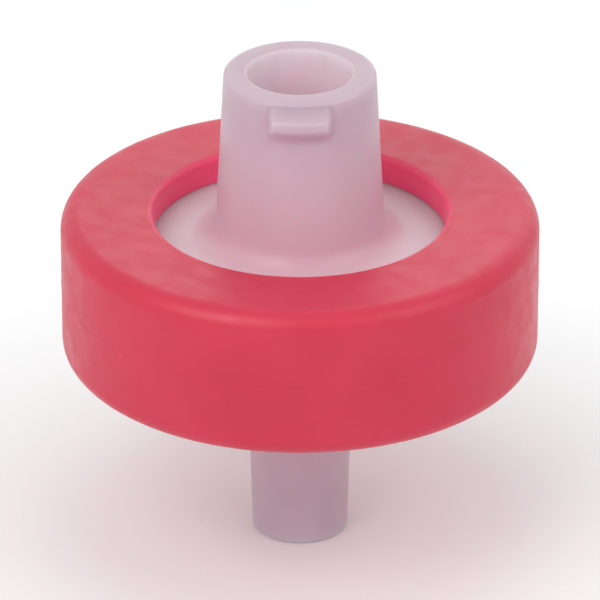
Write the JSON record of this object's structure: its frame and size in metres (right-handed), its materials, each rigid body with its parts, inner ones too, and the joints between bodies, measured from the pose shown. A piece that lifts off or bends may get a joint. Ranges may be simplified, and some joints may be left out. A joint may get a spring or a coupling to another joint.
{
  "type": "syringe filter",
  "caption": "Disposable syringe filter: a membrane disc clamped between two translucent halves with a luer lock inlet hub and a luer tip outlet, gripped by a moulded coral red ring.",
  "frame": {"origin": "middle of the flat end of the outlet tip, which is the middle of the bottom of the filter's box as it stands on that tip", "axes": "+Z along the flow axis from the outlet tip to the inlet hub; the hub's two lugs point along +Y and -Y"},
  "size_m": [0.0196, 0.0196, 0.0208],
  "materials": {
    "natural_polypropylene": "milky translucent natural polypropylene, soft satin gloss",
    "coral_polypropylene": "coral red moulded polypropylene, satin",
    "white_membrane": "matt white membrane"
  },
  "bodies": {
    "root": {"inlet_housing": "natural_polypropylene", "outlet_housing": "natural_polypropylene", "membrane": "white_membrane", "overmold_ring": "coral_polypropylene"}
  },
  "joints": []
}
